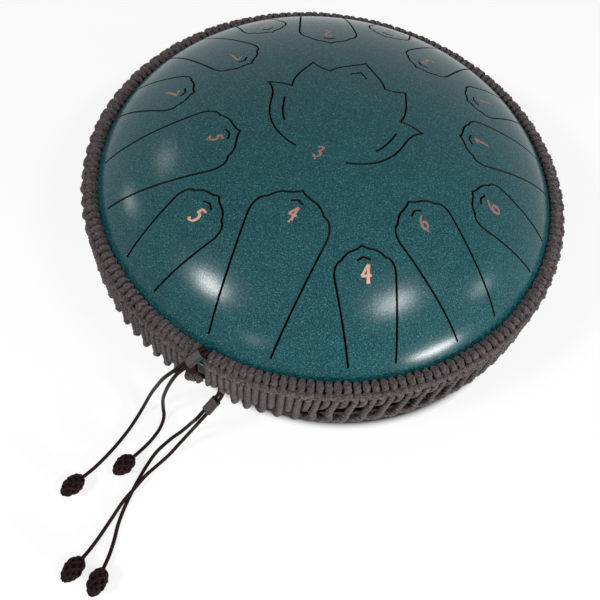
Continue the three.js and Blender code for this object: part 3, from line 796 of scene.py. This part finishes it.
def draw_numeral(mesh, character, dot, centre, turn):
    """A numeral painted on the dome, its top towards the middle of the drum."""
    drum = steel()
    height = drum.numeral if not dot else DOTTED_SHARE * drum.numeral
    heading = math.radians(-90 - turn)
    up = Vector((-math.cos(heading), -math.sin(heading)))
    right = Vector((up.y, -up.x))
    dot_lift, half_width = 0.09, 0.31
    lift = {"low": dot_lift, "high": -dot_lift, "": 0.0}[dot] * height
    origin = centre - right * half_width * height - up * (0.5 * height - lift)

    def put(u, v):
        spot = origin + right * u + up * v
        level = profile_height(spot.length, drum.dome_height)
        return (spot.x, spot.y, seam_height() + level + PAINT_LIFT * MM)

    for line in STROKES[character]:
        draw_stroke(mesh, line, height, put)
    if dot:
        middle = (0.26, -0.16) if dot == "low" else (0.42, 1.17)
        ring = []
        for a in np.linspace(0, 2 * math.pi, 12, endpoint=False):
            u, v = middle[0] + DOT_RADIUS * math.cos(a), middle[1] + DOT_RADIUS * math.sin(a)
            ring.append(mesh.verts.new(put(u * height, v * height)))
        mesh.faces.new(ring)


class DRUM_OT_numerals(bpy.types.Operator):
    """Paints a plain numeral inside the tip of each tongue, and one at the root of the lotus"""
    bl_idname = "drum.numerals"
    bl_label = "Painted numerals"

    def execute(self, context):
        mesh = bmesh.new()
        for turn, tip, _, character, dot in TONGUES:
            draw_numeral(mesh, character, dot, on_tongue(turn, tip, NUMERAL_OUT, NUMERAL_ASIDE), turn)
        draw_numeral(mesh, "3", "low", Vector(LOTUS_NUMERAL) * MM, 0)
        bmesh.ops.recalc_face_normals(mesh, faces=mesh.faces)
        for face in mesh.faces:
            if face.normal.z < 0:
                face.normal_flip()
        piece = mesh_piece("painted_numerals", [], [])
        mesh.to_mesh(piece.data)
        mesh.free()
        modify(piece, "SOLIDIFY", thickness=PAINT_THICKNESS * MM, offset=-1.0)
        finish_piece(piece, copper_paint(), smooth_angle=40)
        return {"FINISHED"}


# The rope cover

def pair_angles():
    """Middle and width of each pair of wraps in degrees; they lie closer near the slot."""
    squeeze, squeezed_pairs = 0.27, 4.2
    count = rope().pairs
    near = [min(i, count - 1 - i) for i in range(count)]
    weights = np.array([1 - squeeze * math.exp(-(k / squeezed_pairs) ** 2) for k in near])
    widths = weights / weights.sum() * (360 - 2 * SEAM_HALF)
    ends = SEAM_ANGLE + SEAM_HALF + np.cumsum(widths)
    return list(zip(ends - widths / 2, widths))


def leg_lean(angle):
    """How far the loops are drawn back under their pairs: not at all near the slot and at
    the left, and fully in front and at the right."""
    lean_from, lean_within, straight_from, straight_within = 18, 12, 250, 60
    turn = (angle - SEAM_ANGLE) % 360
    share = min((turn - lean_from) / lean_within, (straight_from - turn) / straight_within)
    return min(max(share, 0.0), 1.0)


def pair_way(pitch, lean, tucked):
    """The rope's way through one pair, from its left leg to the loop after it. The leg wraps
    over the upper core, comes back in front as the bar, wraps over the core again and drops
    behind the lower core to the loop, which hooks forward round it. Columns are along the
    rim, out from the core circle, up from the seam, in millimetres, and the rope's share of
    its slack thickness."""
    up, low = rope().upper_core / MM, -rope().lower_core / MM
    middle = (up + low) / 2
    side = pitch / 4
    slack = 1.0 - 0.12 * lean
    leg = [
        (-side - 2.6 * lean, 4.3, low + 7.0, slack),
        (-side - 1.9 * lean, 4.3, low + 14.0, slack),
        (-side - 1.0 * lean, 4.2, up - 12.0, slack),
        (-side - 0.3 * lean, 4.2, up - 5.0, 0.84),
    ]
    wrap = [
        (-side, 2.3, up + 0.2, 0.62),
        (-side, 1.3, up + 4.0, 0.98),
        (-side, -0.9, up + 4.6, 1.06),
        (-side, -3.3, up + 3.0, 0.96),
        (-side - 0.3, -2.6, up - 0.5, 0.5),
        (-1.5 * side, -0.6, up - 4.2, 0.6),
    ]
    bar = [
        (-1.75 * side, 3.6, up - 1.8, 0.76),
        (-1.3 * side, 3.7, up + 2.6, 0.82),
        (0.0, 4.9, up + 1.2, 0.88),
    ]
    back = [(-x, y, z, share) for x, y, z, share in (wrap + bar[:-1])[::-1]]

    # Along where the loop hangs straight and where it leans, out likewise, up, and the share
    hang = (
        (side, 2.6, 4.2, 4.2, up - 5.0, 0.84), (side, 1.9, 4.2, 4.0, up - 11.0, 0.92),
        (side, 0.6, 4.2, 2.0, middle - 0.5, slack), (side, -1.9, 3.4, -2.2, low + 7.0, slack),
        (side + 0.2, -3.8, -2.8, -4.0, low - 0.3, 0.92), (side + 0.9, -4.0, -2.4, -2.4, low - 4.4, 0.98),
        (2 * side - 0.9, -3.5, 1.2, 1.2, low - 5.8, 1.04), (2 * side + 0.7, -1.2, 3.3, 3.3, low - 5.2, 1.04),
        (3 * side - 0.9, 1.8, 4.3, 4.3, low - 4.0, 1.04), (3 * side - 0.3, 4.4, 4.6, 4.6, low - 2.2, 1.04),
        (3 * side, 3 * side - 3.2, 4.5, 4.5, low + 1.6, 0.96),
    )
    loop = [(x + (leaning_x - x) * lean, y + (leaning_y - y) * lean, z, share)
            for x, leaning_x, y, leaning_y, z, share in hang]
    if tucked:
        loop = [(x, min(y, -3.0) if z < low + 4 else y, max(z, low - 3.6), share)
                for x, y, z, share in loop]
    return leg + wrap + bar + back + loop


def bound_way(pitch):
    """The last pair, at the left of the slot: both its legs run down through the whipping."""
    low = -rope().lower_core / MM
    free = pair_way(pitch, 0.0, False)
    post_x, post_y = 0.6, 2.1
    half_gap, fan = 0.9, 1.4
    bound = 0.42
    down = ((0.0, -1.0, bound), (0.0, -5.5, bound), (0.0, -10.0, bound),
            (0.9, low + 4.0, 0.8), (2.0, low - 4.5, 1.0))
    left = [(post_x - half_gap + x, post_y, z, share) for x, z, share in down[::-1]]
    right = [(post_x + half_gap + fan * x, post_y, z, share) for x, z, share in down]
    return left + free[3:-10] + right


def open_for_cord(angle, height):
    """Pushes the lower loops aside where the lower drawcord's ends come out."""
    push, reach, above, fade = 1.15, 2.5, 11, 8
    away = angle - LOWER_EXIT_ANGLE
    depth = min(max((above - rope().lower_core / MM - height) / fade, 0.0), 1.0)
    return angle + math.copysign(push * math.exp(-abs(away) / reach) * depth, away)


def rope_way():
    """Control points of the whole rope: places in metres, then its share of its thickness."""
    shaker = random.Random(11)
    circle = rope().core_circle / MM
    points = []
    pairs = pair_angles()
    for number, (middle, width) in enumerate(pairs):
        pitch = math.radians(width) * circle
        last = number == len(pairs) - 1
        way = bound_way(pitch) if last else pair_way(pitch, leg_lean(middle), number == 0)
        swell = 1 + shaker.uniform(-0.04, 0.05)
        sway = shaker.uniform(-0.3, 0.3)
        drop = shaker.uniform(-0.35, 0.35)
        for x, y, z, share in way:
            jitter = shaker.uniform(-0.12, 0.12)
            angle = open_for_cord(middle + math.degrees((x + sway + jitter) / circle), z)
            place = at_angle((circle + y + jitter) * MM, angle, seam_height() + (z + drop) * MM)
            points.append((*place, share * swell))
    return np.array(points)


class DRUM_OT_rope_cover(bpy.types.Operator):
    """Knots one long rope over the upper core and round the lower one, all round the rim"""
    bl_idname = "drum.rope_cover"
    bl_label = "Rope cover"

    def execute(self, context):
        line = smooth_line(rope_way(), 1.2 * MM)
        places, shares = line[:, :3], line[:, 3]
        sides, ups = carried_frames(places)
        twist = 2 * math.pi * run_along(places) / rope().lay
        radii = rope().rope / 2 * shares
        cuts = np.linspace(0, len(places) - 1, 5).astype(int)
        material = cotton_rope()
        for number, (start, end) in enumerate(zip(cuts, cuts[1:])):
            part = slice(start, end + 1)
            piece = framed_tube(f"rope_cover_{number + 1}", places[part], radii[part], laid_section(),
                                sides[part], ups[part], twist[part])
            finish_piece(piece, material, replaces=("rope_cover",))
        return {"FINISHED"}


class DRUM_OT_whipping(bpy.types.Operator):
    """Winds waxed thread round the two strands at the left end of the cover"""
    bl_idname = "drum.whipping"
    bl_label = "End whipping"

    def execute(self, context):
        turns, steps, pitch, lowest, coil_radius, thread_radius = 8, 24, 1.5, -11.6, 2.45, 0.72
        beside_slot, off_steel = 1.15, 3.5
        post = at_angle(steel().radius + off_steel * MM, SEAM_ANGLE - SEAM_HALF - beside_slot, seam_height())
        shaker = random.Random(5)
        points = []
        for i in range(turns * steps + 1):
            a = 2 * math.pi * i / steps
            wobble = 1 + 0.03 * math.sin(a * 0.37 + 1.0) + shaker.uniform(-0.008, 0.008)
            reach = coil_radius * MM * wobble
            points.append((post.x + reach * math.cos(a), post.y + reach * math.sin(a),
                           post.z + (lowest + pitch * i / steps) * MM))
        thread = round_tube("whipping_thread", np.array(points), thread_radius * MM, 10)
        finish = waxed_cord("waxed_thread", rope().thread, 0.6)
        finish_piece(thread, finish, replaces=("end_whipping",))
        return {"FINISHED"}


# Drawcords, sliders and knots

def exit_of(which):
    """Where a slider sits, where its cords lead it, and the ends of its drawcord's ring, in mm."""
    upper = which == "upper"
    place = UPPER_SLIDER if upper else LOWER_SLIDER
    angle, half = (SEAM_ANGLE, SEAM_HALF) if upper else (LOWER_EXIT_ANGLE, LOWER_EXIT_HALF)
    height = seam_height() / MM + (rope().upper_core if upper else -rope().lower_core) / MM
    return {
        "height": height,
        "from": angle + half + CORD_INSET,
        "to": angle - half - CORD_INSET + 360,
        "start": at_angle(COVER_RADIUS + place["inset"], angle + place["shift"], height + place["rise"]),
        "heading": Vector(place["heading"]).normalized(),
    }


def across_slider(way_out):
    return Vector((0, 0, 1)).cross(way_out["heading"]).normalized()


def tail_points(which, side, route):
    """A free end's points in metres: out of its ring, through the slider and down its route."""
    way_out = exit_of(which)
    circle = rope().core_circle / MM
    ring_angle = way_out["from"] if side > 0 else way_out["to"]
    ring_end = at_angle(circle, ring_angle, way_out["height"])
    outward = at_angle(1.0, ring_angle - side * 90, 0.0)
    heading = way_out["heading"]
    lane = way_out["start"] + across_slider(way_out) * side * (CORD_RADIUS + CORD_PLAY / 2)
    leave, pull_out, pull_in, arrive = GAP + 0.6, 3.6, 6.5, 1.6
    bend = [ring_end + outward * leave, ring_end + outward * pull_out,
            lane - heading * pull_in, lane - heading * arrive]
    points = [ring_end + outward * GAP, bend[0]] + bezier(bend, lambda *place: Vector(place), 4)
    length = cords().slider_length / MM
    straight_end = length + SLIDER_TRAVEL + 1
    points += [lane + heading * s for s in (-0.4, length / 2, straight_end - 5, straight_end)]
    points += [Vector((x, -COVER_RADIUS - out, z)) for x, out, z in route]
    return [p * MM for p in points]


def slider_piece(name, which, body, material):
    """A short flat tube of leather round the two cords, with soft edges."""
    pinch_depth, side_share, edge = 0.12 * MM, 0.35, 0.18 * MM
    length, wall = cords().slider_length, cords().slider_wall
    half_height = (CORD_RADIUS + CORD_PLAY) * MM + wall / 2
    straight = (CORD_RADIUS + CORD_PLAY / 2) * MM
    bpy.ops.mesh.primitive_cylinder_add(
        vertices=64, radius=half_height, depth=length, end_fill_type="NOTHING")
    tube = take(name)
    edit_all((bpy.ops.mesh.subdivide, {"number_cuts": 6, "quadcorner": "INNERVERT"}))
    for vertex in tube.data.vertices:
        x, y, z = vertex.co
        pinch = pinch_depth * math.cos(math.pi * min(abs(x) / straight, 1.0)) * (1 - (2 * z / length) ** 2)
        aside = straight * min(1.0, abs(x) / (side_share * half_height))
        vertex.co = (x + math.copysign(aside, x), y - math.copysign(pinch, y), z + length / 2)
    modify(tube, "SOLIDIFY", thickness=wall, offset=0.0)
    round_edges(tube, edge, 50)
    way_out = exit_of(which)
    across = across_slider(way_out)
    over = way_out["heading"].cross(across)
    turn = Matrix((across, over, way_out["heading"])).transposed().to_4x4()
    tube.data.transform(Matrix.Translation(way_out["start"] * MM) @ turn)
    return finish_piece(tube, material, body=body, replaces=(f"{which}_cord_slider",),
                        smooth_angle=40)


def knot_piece(name, end, heading, node, material):
    """A ball knot: strands of cord woven over and under each other round an egg, drawn in
    to a neck where the cord goes in."""
    sizes = cords()
    length, thick = sizes.knot_length, sizes.knot_thickness
    strand = 0.45 * sizes.cord
    weave, families, turns, steps = 0.42 * MM, 6, 0.5, 28
    fullest_shift, fullness, play, neck = 0.86, 0.62, 0.25 * MM, 0.3 * MM
    core_share, core_half = 0.93, 0.44
    side = heading.orthogonal().normalized()
    over = heading.cross(side)
    shaker = random.Random(name)
    phase = shaker.uniform(0, math.pi)
    tubes = []

    def egg(share, lift):
        swell = math.sin(math.pi * min(max(share, 0.0), 1.0) ** fullest_shift) ** fullness
        return (thick / 2 - strand - play) * swell + lift

    for sense in (1, -1):
        for number in range(families):
            points = []
            for i in range(steps + 1):
                share = 0.02 + 0.96 * i / steps
                lift = sense * weave * math.cos(2 * math.pi * turns * families * share)
                angle = phase + sense * 2 * math.pi * turns * share + 2 * math.pi * number / families
                reach = max(egg(share, lift), 0.4 * strand)
                points.append(end + heading * (neck + length * (0.03 + 0.94 * share))
                              + (side * math.cos(angle) + over * math.sin(angle)) * reach)
            tubes.append(round_tube("knot_strand", np.array(points), strand, 8))
    middle = end + heading * (neck + length / 2)
    bpy.ops.mesh.primitive_uv_sphere_add(segments=24, ring_count=14, radius=1.0)
    core = take("knot_core")
    turn = Matrix((side, over, heading)).transposed().to_4x4()
    for vertex in core.data.vertices:
        x, y, z = vertex.co
        share = 0.5 + z / 2
        reach = egg(share, 0.0) * core_share / max(math.hypot(x, y), 1e-6)
        vertex.co = (x * reach, y * reach, z * length * core_half)
    core.data.transform(Matrix.Translation(middle) @ turn)
    core.data.uv_layers[0].name = "along"
    piece = join(core, tubes, name)
    return finish_piece(piece, material, replaces=(node,), smooth_angle=60)


class DRUM_OT_cords(bpy.types.Operator):
    """Lays the drawcords, their four free ends, the leather sliders and the end knots"""
    bl_idname = "drum.cords"
    bl_label = "Drawcords"

    def execute(self, context):
        sizes = cords()
        cord_finish = waxed_cord("waxed_cord", sizes.brown, 0.5)
        leather = slider_leather()
        for which in ("upper", "lower"):
            way_out = exit_of(which)
            angles = np.linspace(way_out["from"], way_out["to"], 361)
            ring = np.array([at_angle(rope().core_circle, a, way_out["height"] * MM) for a in angles])
            piece = round_tube(f"{which}_core_cord", ring, sizes.cord / 2, 12)
            finish_piece(piece, cord_finish, replaces=(f"{which}_drawcord",))
            slider_piece(f"{which}_leather_slider", which, f"{which}_slider", leather)
        for node, (which, side, route) in ROUTES.items():
            places = smooth_line(tail_points(which, side, route), 0.9 * MM)
            tail = round_tube(node.replace("tail", "cord_end"), places, sizes.cord / 2, 14)
            finish_piece(tail, cord_finish, replaces=(node,))
            heading = Vector(places[-1] - places[-4]).normalized()
            knot = knot_piece(node.replace("tail", "ball_knot"), Vector(places[-1]), heading,
                              node.replace("tail", "knot"), cord_finish)
        return {"FINISHED"}


# Feet

class DRUM_OT_feet(bpy.types.Operator):
    """Turns the four rubber feet: a cone on the table, a stem through the bowl and a barb"""
    bl_idname = "drum.feet"
    bl_label = "Rubber feet"

    def execute(self, context):
        drum = steel()
        material = foot_rubber()
        stem_reach, bowl_play = 5 * MM, 0.2 * MM
        circle = cords().foot_circle
        top = seam_height() - profile_height(circle, drum.bowl_depth)
        grip = top + drum.sheet
        # Radius and height of the turned outline, from the dished underside to the barb's tip
        outline = (
            (0.0, 1.0 * MM), (4.0 * MM, 1.0 * MM), (5.5 * MM, 0.0), (10.3 * MM, 0.0), (11.0 * MM, 0.7 * MM),
            (12.6 * MM, 0.42 * top), (13.6 * MM, 0.60 * top), (14.0 * MM, 0.66 * top), (14.0 * MM, 0.8 * top),
            (13.6 * MM, top), (3.7 * MM, top), (3.7 * MM, grip + 0.5 * MM), (6.2 * MM, grip + 0.5 * MM),
            (6.5 * MM, grip + 2.0 * MM), (4.0 * MM, grip + 5.0 * MM), (0.0, grip + 5.0 * MM),
        )
        for number, place in enumerate(foot_places()):
            bpy.ops.mesh.primitive_plane_add(size=1.0)
            foot = take(f"rubber_foot_{number + 1}")
            foot.data.clear_geometry()
            edges = [(i, i + 1) for i in range(len(outline) - 1)]
            foot.data.from_pydata([(r, 0, z) for r, z in outline], edges, [])
            pick(foot)
            edit_all((bpy.ops.mesh.spin, {
                         "steps": 40, "angle": 2 * math.pi, "center": (0, 0, 0), "axis": (0, 0, 1)}),
                     (bpy.ops.mesh.remove_doubles, {"threshold": 1e-6}),
                     (bpy.ops.mesh.normals_make_consistent, {"inside": False}))
            foot.location = place
            settle(foot)
            for vertex in foot.data.vertices:
                across = math.hypot(vertex.co.x - place.x, vertex.co.y - place.y)
                if abs(vertex.co.z - top) < 0.1 * MM and across > stem_reach:
                    radius = math.hypot(vertex.co.x, vertex.co.y)
                    vertex.co.z = seam_height() - profile_height(radius, drum.bowl_depth) - bowl_play
            round_edges(foot, 0.5 * MM, 35)
            finish_piece(foot, material, replaces=(f"foot_{number + 1}",), smooth_angle=40)
        return {"FINISHED"}


# Floor, camera and lamps

def white_rays(tree):
    """1 for what the camera sees straight, in a gloss or through glass, and 0 for other light."""
    rays = add(tree, "ShaderNodeLightPath").outputs
    seen = reckon(tree, "MAXIMUM", rays["Is Camera Ray"], rays["Is Glossy Ray"])
    return reckon(tree, "MAXIMUM", seen, rays["Is Transmission Ray"])


def pale_floor():
    """Matt white paper: the camera sees it nearly white, and it keeps a soft shadow. It is
    dark under the drum, where the photograph shows no light either."""
    material, tree, shader = new_material("white_paper")
    away = add(tree, "ShaderNodeVectorMath", {0: place_of(tree), 1: UNDER_DRUM}, operation="DISTANCE")
    outside_painted_shadow = add(tree, "ShaderNodeMapRange", {
        "Value": away.outputs["Value"], "From Min": UNDER_RADIUS - UNDER_EDGE,
        "From Max": UNDER_RADIUS}).outputs["Result"]
    # Painted shadow: inside the disc under the drum the floor's own colour is nearly black and it does not
    # glow.
    painted_shadow_tint = ramp(tree, outside_painted_shadow, ((0.0, (0.06, 0.06, 0.06)), (1.0, (0.93, 0.93, 0.93))))
    dress(tree, shader, painted_shadow_tint, roughness=1.0, specular_ior_level=0.0)
    pale = reckon(tree, "MULTIPLY", white_rays(tree), outside_painted_shadow)
    white = add(tree, "ShaderNodeEmission", {"Color": (1, 1, 1, 1), "Strength": 1.0})
    glow = reckon(tree, "MULTIPLY", pale, FLOOR_GLOW)
    mix = add(tree, "ShaderNodeMixShader", {0: glow, 1: shader.outputs["BSDF"], 2: white.outputs["Emission"]})
    tree.links.new(mix.outputs["Shader"], tree.nodes["Material Output"].inputs["Surface"])
    return material


def white_world():
    world = bpy.data.worlds.new("white_room")
    world.use_nodes = True
    tree = world.node_tree
    strength = add(tree, "ShaderNodeMapRange", {
        "Value": white_rays(tree), "To Min": SKY_STRENGTH, "To Max": 1.0})
    sky = tree.nodes["Background"]
    sky.inputs["Color"].default_value = (1, 1, 1, 1)
    tree.links.new(strength.outputs["Result"], sky.inputs["Strength"])
    bpy.context.scene.world = world


class DRUM_OT_stage(bpy.types.Operator):
    """Sets the white floor, the soft lamps and the camera of the photograph"""
    bl_idname = "drum.stage"
    bl_label = "Stage"

    def execute(self, context):
        bpy.ops.mesh.primitive_plane_add(size=8.0, location=(0, 0, 0))
        floor = take("floor")
        floor.data.materials.append(pale_floor())
        white_world()
        centre = Vector((0, 0, 0.12))
        for name, azimuth, elevation, width, height, power in LAMPS:
            a, e = math.radians(azimuth), math.radians(elevation)
            way = Vector((math.cos(e) * math.cos(a), math.cos(e) * math.sin(a), math.sin(e)))
            bpy.ops.object.light_add(type="AREA", location=centre + way * LAMP_DISTANCE)
            lamp = take(name)
            lamp.data.shape = "ELLIPSE"
            lamp.data.size, lamp.data.size_y = width, height
            lamp.data.energy = power
            lamp.rotation_euler = way.to_track_quat("Z", "Y").to_euler()
        bpy.ops.object.camera_add(location=CAMERA_PLACE, rotation=[math.radians(d) for d in CAMERA_TURN])
        camera = take("camera")
        camera.data.lens = CAMERA_LENS
        camera.data.sensor_width = 36.0
        camera.data.shift_x, camera.data.shift_y = CAMERA_SHIFT
        camera.data.clip_start = 0.01
        context.scene.camera = camera
        context.scene.view_settings.view_transform = "Standard"
        return {"FINISHED"}


OPERATORS = (DRUM_OT_stage, DRUM_OT_cords, DRUM_OT_shells, DRUM_OT_numerals, DRUM_OT_rope_cover,
             DRUM_OT_whipping, DRUM_OT_feet)
GROUPS = {"drum_steel": DrumSteel, "drum_rope": DrumRope, "drum_cords": DrumCords}


class DRUM_PT_panel(bpy.types.Panel):
    """Lists the drum's steps and sizes in the sidebar"""
    bl_idname = "DRUM_PT_panel"
    bl_label = "Tongue drum"
    bl_space_type = "VIEW_3D"
    bl_region_type = "UI"
    bl_category = "Drum"

    def draw(self, context):
        for operator in OPERATORS:
            self.layout.operator(operator.bl_idname)
        for group in (steel(), rope(), cords()):
            box = self.layout.box()
            for key in group.__annotations__:
                box.prop(group, key)


def register():
    for group in GROUPS.values():
        bpy.utils.register_class(group)
    for operator in OPERATORS:
        bpy.utils.register_class(operator)
    bpy.utils.register_class(DRUM_PT_panel)
    for name, group in GROUPS.items():
        setattr(bpy.types.Scene, name, bpy.props.PointerProperty(type=group))


def unregister():
    for name in GROUPS:
        delattr(bpy.types.Scene, name)
    bpy.utils.unregister_class(DRUM_PT_panel)
    for operator in reversed(OPERATORS):
        bpy.utils.unregister_class(operator)
    for group in GROUPS.values():
        bpy.utils.unregister_class(group)


def main():
    register()
    bpy.ops.drum.stage()
    bpy.ops.drum.cords()
    bpy.ops.drum.shells()
    bpy.ops.drum.numerals()
    bpy.ops.drum.rope_cover()
    bpy.ops.drum.whipping()
    bpy.ops.drum.feet()


if __name__ == "__main__":
    main()
